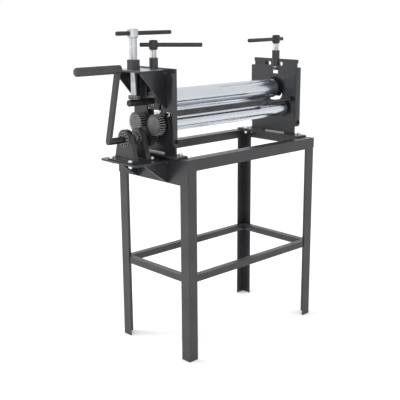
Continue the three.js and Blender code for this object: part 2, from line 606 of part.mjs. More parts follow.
function tailScrew(group) {
  const { x, r, stem, top, stemTop, stemBottom, headTop, head } = TAIL_SCREW;
  const tip = WASHER.bottom + 5;
  const screw = turnedZ([[tip, 0], [tip, 6], [stemBottom, 6], [stemBottom, stem], [stemTop, stem],
    [stemTop, r], [top + 1, r], [top + 1, 0]], x, 0);
  const block = turnedZ([[top, 0], [top, head - 5], [top + 7, head], [headTop - 2, head],
    [headTop, head - 2], [headTop, 0]], x, 0);
  const bore = rodX(x - 40, x + 40, 0, TAIL_T_BAR.z, TAIL_T_BAR.hole, 20);
  add(group, 'tail_screw', cut(join(screw, block), bore), BRIGHT_STEEL);
  add(group, 'tail_t_bar', tBar(288, 204, TAIL_T_BAR.r).translate([x, 0, TAIL_T_BAR.z]), BLACK_STEEL);
  const z = WASHER.bottom;
  const pad = turnedZ([[z, 0], [z, WASHER.r], [z + 7, WASHER.r], [z + 7, WASHER.r - 3],
    [z + 8.5, WASHER.r - 3], [z + 8.5, WASHER.r], [stemBottom - 0.3, WASHER.r], [stemBottom - 0.3, 6.5],
    [z + 4.5, 6.5], [z + 4.5, 0]], x, 0);
  add(group, 'tail_thrust_washers', pad, GREY_STEEL);
}

// ---------------------------------------------------------------- build
const stand = assembly();
stand.position.y = STAND_MIDDLE;
legs(stand);
topBeams(stand, boltHoles(BASE_BOLTS).map((hole) => hole.translate([0, -STAND_MIDDLE, 0])));
lowerRails(stand);
apron(stand);

const frame = assembly();
basePlates(frame);
sidePlates(frame);
lowerBearings(frame);
tieRod(frame);
liftBosses(frame);
tailSupport(frame);

const drive = assembly();
crankBracket(drive);
pedestal(drive);
gears(drive);
crank(drive);

const rolling = assembly();
rolls(rolling);
carriage(rolling);
liftScrews(rolling);
tailScrew(rolling);

export default machine;
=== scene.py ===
"""Looks of a hand-cranked three-roll sheet bender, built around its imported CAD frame.

Metres, in the CAD frame: X along the rolls, Y from the operator's side to the rear, Z up.
"""
import json
import math

import bmesh
import bpy
from mathutils import Matrix, Vector


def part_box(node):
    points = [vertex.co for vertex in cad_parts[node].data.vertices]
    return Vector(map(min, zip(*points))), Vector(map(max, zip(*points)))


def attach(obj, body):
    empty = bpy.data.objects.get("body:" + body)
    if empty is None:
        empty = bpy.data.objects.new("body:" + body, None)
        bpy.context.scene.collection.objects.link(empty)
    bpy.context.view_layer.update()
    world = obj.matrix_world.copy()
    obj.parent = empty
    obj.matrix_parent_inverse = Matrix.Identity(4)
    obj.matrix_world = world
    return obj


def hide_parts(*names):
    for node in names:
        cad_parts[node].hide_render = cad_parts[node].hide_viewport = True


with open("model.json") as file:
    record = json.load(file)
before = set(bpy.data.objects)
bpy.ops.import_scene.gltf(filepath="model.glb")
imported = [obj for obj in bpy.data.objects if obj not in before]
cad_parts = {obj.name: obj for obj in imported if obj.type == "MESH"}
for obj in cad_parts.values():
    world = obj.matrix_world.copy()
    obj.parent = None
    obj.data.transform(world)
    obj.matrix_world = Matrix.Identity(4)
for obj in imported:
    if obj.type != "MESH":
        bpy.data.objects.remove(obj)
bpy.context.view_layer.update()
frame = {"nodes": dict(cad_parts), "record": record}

NODES = frame["nodes"]
BODIES = frame["record"]["behaviour"]["bodies"]
BODY_OF = {node: body for body, nodes in BODIES.items() for node in nodes}
SLOT_OF = {part["node"]: part["material_slot"] for part in frame["record"]["subparts"]}

# ------------------------------------------------------------------ sizes
MM = 0.001
EDGE = 0.7 * MM             # radius of a broken edge on plate and bar
BOLT_EDGE = 0.4 * MM        # the same on bolts
FINE_EDGE = 0.3 * MM        # the same on gears and small turned parts
FACET_ANGLE = math.radians(28)
SEGMENTS = 96               # sides of a turned piece

# The CAD measures X from the stand's left face and Y from the rolls' centre line, in millimetres.
STAND_LEFT, STAND_MIDDLE = -206.7, 6
LOWER_ROLL = {"r": 35.5, "y": 61.5, "z": 1034.1, "journal": 12.5, "left": 32, "right": 772}
TOP_ROLL = {"r": 46, "z": 1127, "journal": 15, "left": 42, "right": 762}
TIE_ROD = {"r": 13, "y": -114, "z": 1081.5, "thread": 6,
           "collar": 17, "collar_start": 590, "collar_end": 611}
CRANK_Z = 979
GEAR_AXES = {
    "roll_gear_front": (-LOWER_ROLL["y"], LOWER_ROLL["z"]),
    "roll_gear_rear": (LOWER_ROLL["y"], LOWER_ROLL["z"]),
    "drive_pinion": (0, CRANK_Z),
}
TOOTH = {"root": 38.5, "crest": 43.5}   # radii between which the painted shade at the tooth roots fades to the crest colour
# black discs beside the sight holes: painted shade for their shadowed walls
SIGHT_HOLE_SHADE = {"r": 9.2, "z": 1244, "y": (-15, 57)}
SIDES = {"left": {"inner": 20, "outward": -1}, "right": {"inner": 786, "outward": 1}}
SIDE_THICK = 8
LIFT_X = {"left": 16, "right": 790}
LIFT_SCREW = {"r": 13.5, "bottom": 1226.5, "top": 1339}
TAIL_X = -92
TAIL_SCREW = {"r": 17, "bottom": 1254.5, "top": 1391}
T_BARS = {
    "lift_t_bar_left": {"x": LIFT_X["left"], "z": 1360, "heading": -45, "short": 57, "long": 205},
    "lift_t_bar_right": {"x": LIFT_X["right"], "z": 1360, "heading": 185.6, "short": 52, "long": 217},
    "tail_t_bar": {"x": TAIL_X, "z": 1410, "heading": 0, "short": 84, "long": 204},
}
PEDESTAL_FACES = {"outer": -152, "inner": -86}
PEDESTAL_THICK = 21
BALLS = {"count": 11, "r": 2.6, "circle": 24.8}
BASE_TOP, FOOT_TOP = 908, 895
BASE_GRIP = (BASE_TOP, 896)     # the plates that a base bolt holds, from top to bottom
FOOT_GRIP = (FOOT_TOP, 882)     # the same for a foot bolt
BOLT = {"shank": 5, "corner": 9.2, "head": 6.4, "nut": 8, "washer": 10.5, "washer_thick": 2, "tail": 4}
BASE_BOLTS = [(36.5, -140), (36.5, 177), (811.5, -140), (768, 177), (811.5, 177)]
FOOT_BOLTS = [(x, y) for x in (-171, -54) for y in (-63.5, 63.5)]


def at(x, y, z):
    """A point of the CAD's own coordinates, in the row frame."""
    return Vector((x + STAND_LEFT, y - STAND_MIDDLE, z)) * MM


def low(name):
    return Vector(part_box(name)[0])


# ------------------------------------------------------------------ materials
class Shader:
    """A node material with one Principled shader, and short calls that wire its inputs."""

    def __init__(self, name):
        self.material = bpy.data.materials.new(name)
        self.material.use_nodes = True
        self.nodes = self.material.node_tree.nodes
        self.links = self.material.node_tree.links
        self.shader = self.nodes["Principled BSDF"]
        self.coordinates = self.nodes.new("ShaderNodeTexCoord").outputs["Object"]

    def link(self, output, node, socket):
        self.links.new(output, node.inputs[socket])

    def noise(self, scale, detail=3.0, roughness=0.55, stretch=(1, 1, 1)):
        mapping = self.nodes.new("ShaderNodeMapping")
        mapping.inputs["Scale"].default_value = stretch
        self.link(self.coordinates, mapping, "Vector")
        noise = self.nodes.new("ShaderNodeTexNoise")
        noise.inputs["Scale"].default_value = scale
        noise.inputs["Detail"].default_value = detail
        noise.inputs["Roughness"].default_value = roughness
        self.link(mapping.outputs["Vector"], noise, "Vector")
        return noise.outputs["Fac"]

    def ramp(self, factor, dark, light, start=0.35, end=0.65):
        ramp = self.nodes.new("ShaderNodeValToRGB")
        ramp.color_ramp.elements[0].position = start
        ramp.color_ramp.elements[1].position = end
        ramp.color_ramp.elements[0].color = (*dark, 1)
        ramp.color_ramp.elements[1].color = (*light, 1)
        self.link(factor, ramp, "Fac")
        return ramp.outputs["Color"]

    def between(self, factor, least, most):
        remap = self.nodes.new("ShaderNodeMapRange")
        remap.inputs["From Min"].default_value = 0.3
        remap.inputs["From Max"].default_value = 0.7
        remap.inputs["To Min"].default_value = least
        remap.inputs["To Max"].default_value = most
        self.link(factor, remap, "Value")
        return remap.outputs["Result"]

    def edges(self, radius):
        """1 on a convex or concave edge, 0 on a flat."""
        bevel = self.nodes.new("ShaderNodeBevel")
        bevel.samples = 4
        bevel.inputs["Radius"].default_value = radius
        geometry = self.nodes.new("ShaderNodeNewGeometry")
        dot = self.nodes.new("ShaderNodeVectorMath")
        dot.operation = "DOT_PRODUCT"
        self.link(bevel.outputs["Normal"], dot, 0)
        self.link(geometry.outputs["Normal"], dot, 1)
        remap = self.nodes.new("ShaderNodeMapRange")
        remap.inputs["From Min"].default_value = 0.995
        remap.inputs["From Max"].default_value = 0.9
        self.link(dot.outputs["Value"], remap, "Value")
        return remap.outputs["Result"]

    def edge_wear_and_highlight(self, color, wear_and_highlight_color, amount, radius=1.2 * MM):
        """The colour, lightened along the edges in patches: edge wear and a painted edge highlight."""
        patchy = self.nodes.new("ShaderNodeMath")
        patchy.operation = "MULTIPLY"
        self.link(self.edges(radius), patchy, 0)
        self.link(self.between(self.noise(35.0), 0.0, amount), patchy, 1)
        mix = self.nodes.new("ShaderNodeMix")
        mix.data_type = "RGBA"
        self.link(patchy.outputs["Value"], mix, "Factor")
        self.links.new(color, mix.inputs[6])
        mix.inputs[7].default_value = (*wear_and_highlight_color, 1)
        return mix.outputs[2]

    def bump(self, *layers):
        """Bump from pairs of (height output, distance)."""
        last = None
        for height, distance in layers:
            bump = self.nodes.new("ShaderNodeBump")
            bump.inputs["Strength"].default_value = 1.0
            bump.inputs["Distance"].default_value = distance
            self.link(height, bump, "Height")
            if last:
                self.link(last, bump, "Normal")
            last = bump.outputs["Normal"]
        self.link(last, self.shader, "Normal")

    def color(self, output):
        self.link(output, self.shader, "Base Color")

    def roughness(self, output):
        self.link(output, self.shader, "Roughness")

    def metallic(self, value):
        self.shader.inputs["Metallic"].default_value = value


def powder_coat():
    """Satin black powder coat: fine orange peel, cloudy sheen, edges lighter in patches as wear and as a
    painted edge highlight.
    """
    s = Shader("black_powder_coat")
    cloud = s.noise(9.0)
    base = s.ramp(cloud, (0.0185, 0.0192, 0.0215), (0.0265, 0.0272, 0.0300))
    s.color(s.edge_wear_and_highlight(base, (0.10, 0.10, 0.105), 0.4))
    s.roughness(s.between(s.noise(22.0), 0.27, 0.36))
    s.bump((s.noise(900.0, detail=1.5), 0.02 * MM), (s.noise(260.0, detail=2.0), 0.02 * MM))
    return s.material


def black_oxide():
    """Blackened steel bar: darker than the paint, slightly oily."""
    s = Shader("black_oxide_steel")
    base = s.ramp(s.noise(30.0), (0.012, 0.012, 0.013), (0.020, 0.020, 0.0215))
    # edges lightened in patches: wear plus a painted edge highlight
    s.color(s.edge_wear_and_highlight(base, (0.12, 0.115, 0.11), 0.5, 1.0 * MM))
    s.roughness(s.between(s.noise(60.0), 0.28, 0.42))
    s.metallic(0.15)
    s.bump((s.noise(700.0, detail=2.0), 0.02 * MM))
    return s.material


def gear_steel():
    """Machined, unhardened gear steel with a film of oil."""
    s = Shader("machined_gear_steel")
    base = s.ramp(s.noise(45.0), (0.125, 0.125, 0.129), (0.18, 0.18, 0.184))
    # edges lightened in patches: wear plus a painted edge highlight
    s.color(s.edge_wear_and_highlight(base, (0.5, 0.5, 0.5), 0.5, 0.8 * MM))
    s.roughness(s.between(s.noise(80.0), 0.42, 0.58))
    s.metallic(0.7)
    s.bump((s.noise(500.0, detail=3.0, stretch=(1, 0.2, 1)), 0.03 * MM))
    return s.material


def ground_steel():
    """Ground and polished roll steel: a soft, even sheen with faint cloudy oil marks."""
    s = Shader("ground_roll_steel")
    s.color(s.ramp(s.noise(14.0), (0.585, 0.615, 0.665), (0.615, 0.645, 0.695)))
    s.roughness(s.between(s.noise(9.0, detail=2.0), 0.20, 0.22))
    s.metallic(1.0)
    return s.material


def drawn_bar():
    """Dark cold-drawn bar, smooth enough to show the rolls beside it."""
    s = Shader("dark_drawn_bar")
    s.color(s.ramp(s.noise(30.0), (0.050, 0.051, 0.054), (0.075, 0.076, 0.079)))
    s.roughness(s.between(s.noise(50.0), 0.24, 0.32))
    s.metallic(1.0)
    return s.material


def painted_highlight_top():
    """The tail plate's upper face, coloured bright metal as a painted highlight."""
    s = Shader("plate_top_painted_highlight")
    s.color(s.ramp(s.noise(12.0), (0.50, 0.515, 0.55), (0.58, 0.60, 0.64)))
    s.roughness(s.between(s.noise(25.0), 0.28, 0.36))
    s.metallic(1.0)
    return s.material


def gear_teeth(node, light):
    """Cut teeth: painted shade darkening the roots, lighter crests, by the distance from the gear's own
    axis.
    """
    s = Shader(f"{node}_teeth")
    y, z = GEAR_AXES[node]
    arm = s.nodes.new("ShaderNodeVectorMath")
    arm.operation = "SUBTRACT"
    s.link(s.coordinates, arm, 0)
    arm.inputs[1].default_value = at(0, y, z)
    flat = s.nodes.new("ShaderNodeVectorMath")
    flat.operation = "MULTIPLY"
    s.link(arm.outputs["Vector"], flat, 0)
    flat.inputs[1].default_value = (0, 1, 1)
    radius = s.nodes.new("ShaderNodeVectorMath")
    radius.operation = "LENGTH"
    s.link(flat.outputs["Vector"], radius, 0)
    height = s.nodes.new("ShaderNodeMapRange")
    height.inputs["From Min"].default_value = TOOTH["root"] * MM
    height.inputs["From Max"].default_value = TOOTH["crest"] * MM
    s.link(radius.outputs["Value"], height, "Value")
    # near black at the roots: painted shade in the gaps between the teeth
    root_shade, bright = (0.006, 0.006, 0.0065), (light, light, light * 1.02)
    s.color(s.ramp(height.outputs["Result"], root_shade, bright, 0.1, 1.0))
    s.roughness(s.between(s.noise(90.0), 0.4, 0.55))
    s.metallic(0.3)
    return s.material


def screw_steel():
    """Bright turned screw steel, slightly cloudy."""
    s = Shader("bright_screw_steel")
    s.color(s.ramp(s.noise(40.0), (0.44, 0.45, 0.47), (0.56, 0.57, 0.59)))
    s.roughness(s.between(s.noise(55.0), 0.34, 0.42))
    s.metallic(1.0)
    return s.material


def rubber_and_painted_shade():
    """Black seals and oily screws, and black pieces that stand in for shade (painted shade): matt, darker
    than the paint.
    """
    s = Shader("black_seal_and_painted_shade")
    s.color(s.ramp(s.noise(80.0), (0.006, 0.006, 0.0065), (0.012, 0.012, 0.013)))
    s.roughness(s.between(s.noise(120.0), 0.55, 0.7))
    s.shader.inputs["Specular IOR Level"].default_value = 0.12
    s.bump((s.noise(500.0, detail=2.0), 0.03 * MM))
    return s.material


def zinc():
    """Bright zinc plate on fasteners."""
    s = Shader("zinc_plate")
    s.color(s.ramp(s.noise(120.0), (0.72, 0.73, 0.75), (0.86, 0.87, 0.88)))
    s.roughness(s.between(s.noise(160.0), 0.25, 0.4))
    s.metallic(1.0)
    s.bump((s.noise(600.0, detail=2.0), 0.01 * MM))
    return s.material


def grip_plastic():
    """Moulded handle sleeve with a fine leathery grain."""
    s = Shader("grip_plastic")
    s.color(s.ramp(s.noise(25.0), (0.030, 0.030, 0.033), (0.044, 0.044, 0.047)))
    s.roughness(s.between(s.noise(40.0), 0.5, 0.62))
    s.bump((s.noise(450.0, detail=2.0), 0.08 * MM))
    return s.material


LOOKS = {
    "black_paint": powder_coat(),
    "black_steel": black_oxide(),
    "grey_steel": gear_steel(),
    "bright_steel": ground_steel(),
    "black_plastic": grip_plastic(),
}
SCREW_STEEL = screw_steel()
DRAWN_BAR = drawn_bar()
ZINC = zinc()
BLACK_SEAL_AND_SHADE = rubber_and_painted_shade()


# ------------------------------------------------------------------ pieces
def place(name, mesh, body, look, angle=FACET_ANGLE):
    piece = bpy.data.objects.new(name, mesh)
    bpy.context.collection.objects.link(piece)
    piece.data.materials.clear()
    piece.data.materials.append(look)
    piece.data.shade_smooth()
    piece.data.set_sharp_from_angle(angle=angle)
    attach(piece, body)
    return piece


def broken_edges(piece, width, segments=2):
    bevel = piece.modifiers.new("broken_edges", "BEVEL")
    bevel.width = width
    bevel.segments = segments
    bevel.limit_method = "ANGLE"
    bevel.angle_limit = math.radians(32)
    bevel.use_clamp_overlap = True
    bevel.harden_normals = False
    normals = piece.modifiers.new("even_normals", "WEIGHTED_NORMAL")
    normals.keep_sharp = True


def copied(node):
    """The CAD node's solid with whole flat faces, ready to be changed."""
    work = bmesh.new()
    work.from_mesh(NODES[node].data)
    bmesh.ops.remove_doubles(work, verts=work.verts, dist=0.002 * MM)
    bmesh.ops.dissolve_limit(work, angle_limit=math.radians(0.3), verts=work.verts, edges=work.edges)
    return work


def to_mesh(work, name):
    mesh = bpy.data.meshes.new(name)
    work.to_mesh(mesh)
    work.free()
    return mesh


def skinned(work, rings):
    """Joins equal rings of corners into one solid with flat ends."""
    for a, b in zip(rings, rings[1:]):
        for i in range(len(a)):
            j = (i + 1) % len(a)
            work.faces.new((a[i], a[j], b[j], b[i]))
    work.faces.new(list(reversed(rings[0])))
    work.faces.new(rings[-1])
    bmesh.ops.recalc_face_normals(work, faces=work.faces)


def refined(node, width=EDGE):
    """Stands for a CAD node: the same solid with whole flat faces and broken edges."""
    mesh = to_mesh(copied(node), f"{node}_fine")
    piece = place(f"{node}_fine", mesh, BODY_OF[node], LOOKS[SLOT_OF[node]])
    broken_edges(piece, width)
    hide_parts(node)
    return piece


def revolved(profile, origin, axis, segments=SEGMENTS, closed=False):
    """A bmesh turned about the line through origin along axis. The profile is [distance, radius] in mm."""
    turn = Matrix.Translation(origin) @ Vector(axis).to_track_quat("Z", "Y").to_matrix().to_4x4()
    work = bmesh.new()
    rings = []
    for along, radius in profile:
        if radius == 0:
            rings.append([work.verts.new(turn @ Vector((0, 0, along * MM)))])
            continue
        ring = []
        for i in range(segments):
            angle = 2 * math.pi * i / segments
            corner = Vector((radius * math.cos(angle), radius * math.sin(angle), along)) * MM
            ring.append(work.verts.new(turn @ corner))
        rings.append(ring)
    pairs = list(zip(rings, rings[1:])) + ([(rings[-1], rings[0])] if closed else [])
    for a, b in pairs:
        for i in range(segments):
            j = (i + 1) % segments
            if len(a) == 1:
                work.faces.new((a[0], b[j], b[i]))
            elif len(b) == 1:
                work.faces.new((a[i], a[j], b[0]))
            else:
                work.faces.new((a[i], a[j], b[j], b[i]))
    bmesh.ops.recalc_face_normals(work, faces=work.faces)
    return work


def turned(name, profile, origin, axis, body, look, width=FINE_EDGE, closed=False, node=None):
    mesh = to_mesh(revolved(profile, origin, axis, closed=closed), name)
    piece = place(name, mesh, body, look)
    if width:
        broken_edges(piece, width)
    if node:
        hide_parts(node)
    return piece


ALONG_X = (1, 0, 0)
UP = (0, 0, 1)


def on_axis_x(node, profile, y, z, look, width=FINE_EDGE, closed=False):
    """A turned piece along X that stands for a CAD node."""
    return turned(f"{node}_turned", profile, at(0, y, z), ALONG_X, BODY_OF[node], look,
                  width, closed, node)


def ends(box):
    """Where a piece's box starts and stops along the CAD's X, in mm."""
    return [corner[0] / MM - STAND_LEFT for corner in box]


def chamfered(start, end, radius, chamfer):
    """The profile of a round bar with chamfered ends."""
    return [[start, 0], [start, radius - chamfer], [start + chamfer, radius], [end - chamfer, radius],
            [end, radius - chamfer], [end, 0]]


def thread(name, x, y, z0, z1, radius, body, look, pitch=4.0, depth=0.6, sides=48, rows=8):
    """A right-hand screw thread standing on its end: a real helix, run out at both ends."""
    work = bmesh.new()
    steps = round((z1 - z0) / pitch * rows)
    rings = []
    for k in range(steps + 1):
        z = z0 + (z1 - z0) * k / steps
        fade = min(1.0, (z - z0) / pitch, (z1 - z) / pitch)
        ring = []
        for i in range(sides):
            angle = 2 * math.pi * i / sides
            phase = (z / pitch - i / sides) % 1.0
            cut = max(0.0, 1 - abs(phase - 0.5) * 3.2) * depth * fade
            r = radius - cut
            ring.append(work.verts.new(at(x + r * math.cos(angle), y + r * math.sin(angle), z)))
        rings.append(ring)
    skinned(work, rings)
    return place(name, to_mesh(work, name), body, look, math.radians(50))


def merged(*works):
    """Several bmeshes as one."""
    whole = bmesh.new()
    for work in works:
        part = to_mesh(work, "part")
        whole.from_mesh(part)
        bpy.data.meshes.remove(part)
    return whole


def hexagon(radius, z0, z1, x, y, chamfer=1.2):
    """A hexagon head or nut along Z, its upper corners turned off."""
    work = bmesh.new()
    rings = []
    for z, r in ((z0, radius), (z1 - chamfer, radius), (z1, radius - chamfer)):
        angles = [math.pi * k / 3 + 0.3 for k in range(6)]
        rings.append([work.verts.new(at(x + r * math.cos(a), y + r * math.sin(a), z)) for a in angles])
    skinned(work, rings)
    return work


# ------------------------------------------------------------------ rolls and round bars
def rolls():
    lower, top = LOWER_ROLL, TOP_ROLL
    for end, sign in (("front", -1), ("rear", 1)):
        node = f"lower_roll_{end}"
        start, stop = ends(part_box(node))
        r, journal, left, right = (lower[key] for key in ("r", "journal", "left", "right"))
        profile = [[start, 0], [start, journal - 1], [start + 1, journal], [left, journal], [left, r - 1.5],
                   [left + 1.5, r], [right - 1.5, r], [right, r - 1.5], [right, journal],
                   [stop - 1, journal], [stop, journal - 1], [stop, 0]]
        on_axis_x(node, profile, sign * lower["y"], lower["z"], LOOKS["bright_steel"])
    start, stop = ends(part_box("top_roll"))
    r, journal, left, right = (top[key] for key in ("r", "journal", "left", "right"))
    profile = [[start, 0], [start, journal], [left, journal], [left, r - 2], [left + 2, r], [right - 2, r],
               [right, r - 2], [right, journal], [stop - 1, journal], [stop, journal - 1], [stop, 0]]
    on_axis_x("top_roll", profile, 0, top["z"], LOOKS["bright_steel"])
    start, stop = ends(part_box("top_roll_tail_bar"))
    bar = [[start, 0], [start, 12], [start + 2, 14], [stop, 14], [stop, 0]]
    on_axis_x("top_roll_tail_bar", bar, 0, top["z"], LOOKS["black_steel"])


def tie_rod():
    start, stop = ends(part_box("tie_rod"))
    shoulder = SIDES["left"]["inner"] + 0.3
    r, thin, collar, collar_start, collar_end = (
        TIE_ROD[key] for key in ("r", "thread", "collar", "collar_start", "collar_end"))
    profile = [[start, 0], [start, thin - 1], [start + 1, thin], [shoulder, thin], [shoulder, r - 1],
               [shoulder + 1, r], [collar_start, r], [collar_start, collar - 1.5],
               [collar_start + 1.5, collar], [collar_end - 1.5, collar], [collar_end, collar - 1.5],
               [collar_end, thin], [stop - 1, thin], [stop, thin - 1], [stop, 0]]
    on_axis_x("tie_rod", profile, TIE_ROD["y"], TIE_ROD["z"], DRAWN_BAR)
    for side, length in (("left", 10.5), ("right", 2.5)):
        way = SIDES[side]["outward"]
        face = SIDES[side]["inner"] + way * (SIDE_THICK + 0.2)
        ring = [[0, thin + 0.1], [0, 10], [length, 10], [length, thin + 0.1]]
        turned(f"tie_rod_collar_{side}", ring, at(face, TIE_ROD["y"], TIE_ROD["z"]), (way, 0, 0), "root",
               ZINC, closed=True)
        body = hexagon(11, 0, 11, 0, 0)
        nut_at = at(face + way * (length + 0.1), TIE_ROD["y"], TIE_ROD["z"])
        body.transform(Matrix.Translation(nut_at) @ Matrix.Rotation(way * math.pi / 2, 4, "Y")
                       @ Matrix.Translation(-at(0, 0, 0)))
        nut = place(f"tie_rod_nut_{side}", to_mesh(body, "nut"), "root", ZINC)
        broken_edges(nut, FINE_EDGE)
    lock_nut = hexagon(12, 0, 13, 0, 0)
    lock_nut.transform(Matrix.Translation(at(SIDES["right"]["inner"] - 0.2, TIE_ROD["y"], TIE_ROD["z"]))
                       @ Matrix.Rotation(-math.pi / 2, 4, "Y") @ Matrix.Translation(-at(0, 0, 0)))
    nut = place("tie_rod_lock_nut", to_mesh(lock_nut, "lock_nut"), "root", BLACK_SEAL_AND_SHADE)
    broken_edges(nut, FINE_EDGE)


def t_bars():
    for node, bar in T_BARS.items():
        heading = math.radians(bar["heading"])
        axis = (math.cos(heading), math.sin(heading), 0)
        start, stop = -bar["short"], bar["long"]
        profile = [[start, 0], [start, 6.5], [start + 0.8, 8], [start + 2.2, 9],
                   [stop - 2.2, 9], [stop - 0.8, 8], [stop, 6.5], [stop, 0]]
        turned(f"{node}_turned", profile, at(bar["x"], 0, bar["z"]), axis, BODY_OF[node],
               LOOKS["black_steel"], width=0, node=node)


def lift_screws():
    for side, x in LIFT_X.items():
        node = f"lift_screw_{side}"
        body, slot = BODY_OF[node], SLOT_OF[node]
        screw = thread(f"lift_screw_thread_{side}", x, 0, LIFT_SCREW["bottom"], LIFT_SCREW["top"],
                       LIFT_SCREW["r"], body, SCREW_STEEL)
        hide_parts(node)
        nose = [[1212, 0], [1212, 16], [1213, 17], [1217, 17],
                [1218, 16], [1218, 10], [1227, 10], [1227, 0]]
        turned(f"lift_screw_nose_{side}", nose, at(x, 0, 0), UP, body, LOOKS["grey_steel"])
        refined(f"lift_screw_head_{side}")
        refined(f"lift_screw_boss_{side}")


def tail_screw():
    body, slot = BODY_OF["tail_screw"], SLOT_OF["tail_screw"]
    screw = thread("tail_screw_thread", TAIL_X, 0, TAIL_SCREW["bottom"], TAIL_SCREW["top"],
                   TAIL_SCREW["r"], body, SCREW_STEEL)
    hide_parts("tail_screw")
    stem = [[1148, 0], [1148, 6], [1158, 6], [1158, 12.5],
            [1158.5, 13], [1254, 13], [1255, 12], [1255, 0]]
    turned("tail_screw_stem", stem, at(TAIL_X, 0, 0), UP, body, SCREW_STEEL)
    head = copied("tail_screw")
    cut = bmesh.ops.bisect_plane(head, geom=head.verts[:] + head.edges[:] + head.faces[:],
                                 plane_co=at(0, 0, TAIL_SCREW["top"] - 1.7), plane_no=UP,
                                 clear_inner=True)
    rim = [part for part in cut["geom_cut"] if isinstance(part, bmesh.types.BMEdge)]
    bmesh.ops.contextual_create(head, geom=rim)
    piece = place("tail_screw_head", to_mesh(head, "tail_screw_head"), body, SCREW_STEEL)
    broken_edges(piece, EDGE)
    body, slot = BODY_OF["tail_thrust_washers"], SLOT_OF["tail_thrust_washers"]
    for name, z0, z1, bore in (("lower", 1142.4, 1148.2, 0), ("upper", 1149.6, 1157.6, 6.5)):
        profile = [[z0, bore], [z0, 24.5], [z0 + 1, 25.5], [z1 - 1, 25.5], [z1, 24.5], [z1, 6.5]]
        profile += [] if bore else [[z0 + 4.5, 6.5], [z0 + 4.5, 0]]
        washer = turned(f"tail_washer_{name}", profile, at(TAIL_X, 0, 0), UP, body,
                        LOOKS["grey_steel"], closed=bool(bore))
        if not bore:
            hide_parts("tail_thrust_washers")
    neck = [[1148, 6.5], [1148, 21], [1149.8, 21], [1149.8, 6.5]]
    turned("tail_washer_neck", neck, at(TAIL_X, 0, 0), UP, body, BLACK_SEAL_AND_SHADE, width=0, closed=True)


def crank():
    start, stop = ends(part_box("crank_shaft"))
    shaft = [[start, 0], [start, 14], [stop - 1, 14], [stop, 13], [stop, 0]]
    on_axis_x("crank_shaft", shaft, 0, CRANK_Z, LOOKS["black_steel"])
    collar = [[-104, 14], [-104, 20], [-101, 23], [-91, 23], [-90, 22], [-90, 14]]
    turned("crank_shaft_collar", collar, at(0, 0, CRANK_Z), ALONG_X, "crank",
           LOOKS["grey_steel"], closed=True)
    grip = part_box("crank_grip")
    start, stop = ends(grip)
    y = (grip[0][1] + grip[1][1]) / 2 / MM + STAND_MIDDLE
    z = (grip[0][2] + grip[1][2]) / 2 / MM
    profile = [[start, 0], [start, 12], [start + 1.2, 15.4], [start + 4, 17.2], [start + 8, 17.5],
               [stop - 9, 17.5], [stop - 8.5, 16.9], [stop - 6, 16.9], [stop - 5.5, 17.5],
               [stop - 1, 17.5], [stop, 16.5], [stop, 7.5], [start + 12, 7.5], [start + 12, 0]]
    on_axis_x("crank_grip", profile, y, z, LOOKS["black_plastic"], width=0)
    refined("crank_arm")


# ------------------------------------------------------------------ bearings
def pedestal_bearings():
    """A deep-groove bearing in each pedestal plate: outer race, dark cage with balls, inner race."""
    outer = [[-2.6, 29], [-2.6, 33], [-1.8, 34], [-0.4, 34], [-0.4, 30], [20.5, 30], [20.5, 29]]
    cage = [[-0.8, 20.5], [-0.8, 29], [19, 29], [19, 20.5]]
    inner = [[-2.8, 14.6], [-2.8, 19.6], [-2, 20.5], [20.5, 20.5], [20.5, 14.6]]
    races = {
        "outer_race": (outer, LOOKS["grey_steel"]),
        "cage": (cage, BLACK_SEAL_AND_SHADE),
        "inner_race": (inner, LOOKS["grey_steel"]),
    }
    for name, face in PEDESTAL_FACES.items():
        node = f"pedestal_bearing_{name}"
        for part, (profile, look) in races.items():
            ring = [[face + along, radius] for along, radius in profile]
            piece = turned(f"{node}_{part}", ring, at(0, 0, CRANK_Z), ALONG_X, "root",
                           look, closed=True)
            if part == "outer_race":
                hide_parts(node)
        balls = bmesh.new()
        for k in range(BALLS["count"]):
            angle = 2 * math.pi * k / BALLS["count"] + 0.2
            across, up = BALLS["circle"] * math.cos(angle), BALLS["circle"] * math.sin(angle)
            centre = at(face - 0.2, across, CRANK_Z + up)
            bmesh.ops.create_uvsphere(balls, u_segments=16, v_segments=10, radius=BALLS["r"] * MM,
                                      matrix=Matrix.Translation(centre))
        place(f"{node}_balls", to_mesh(balls, f"{node}_balls"), "root", SCREW_STEEL)


def window_shade_sheet():
    """A thin black sheet under the left block's rear half, inside the side plate: painted shade that closes
    the gap seen through the window.
    """
    work = bmesh.new()
    inner = SIDES["left"]["inner"]
    outline = [(14, 1088.5), (14, 1066), (33, 1066), (50, 1087), (50, 1088.5)]
    rings = [[work.verts.new(at(x, y, z)) for y, z in outline] for x in (inner + 1.2, inner + 4.5)]
    skinned(work, rings)
    lip = place("bearing_block_left_shade_sheet", to_mesh(work, "lip"), "roll_carriage", BLACK_SEAL_AND_SHADE)
    broken_edges(lip, FINE_EDGE)


def reach(piece, face, axis):
    """The largest distance of a face's corners from an axis along X, in mm."""
    corners = (piece.data.vertices[i].co for i in face.vertices)
    return max(math.hypot(corner.y - axis.y, corner.z - axis.z) for corner in corners) / MM


def bearing_blocks():
    """The blocks as in the CAD, with a black face toward the roll as painted shade for the shadowed gap
    round the roll's end, and a steel bush round the journal.
    """
    for side, facts in SIDES.items():
        piece = refined(f"bearing_block_{side}")
        piece.data.materials.append(BLACK_SEAL_AND_SHADE)
        piece.data.materials.append(LOOKS["grey_steel"])
        axis = at(0, 0, TOP_ROLL["z"])
        for face in piece.data.polygons:
            depth = facts["outward"] * (face.center.x / MM - STAND_LEFT - facts["inner"])
            radius = reach(piece, face, axis)
            # faces toward the roll get the black material: painted shade for the shadowed gap round the
            # roll's end
            if depth < -0.5 and radius < 54:
                face.material_index = 1
            if depth > 11.5 and radius < 25:
                face.material_index = 2


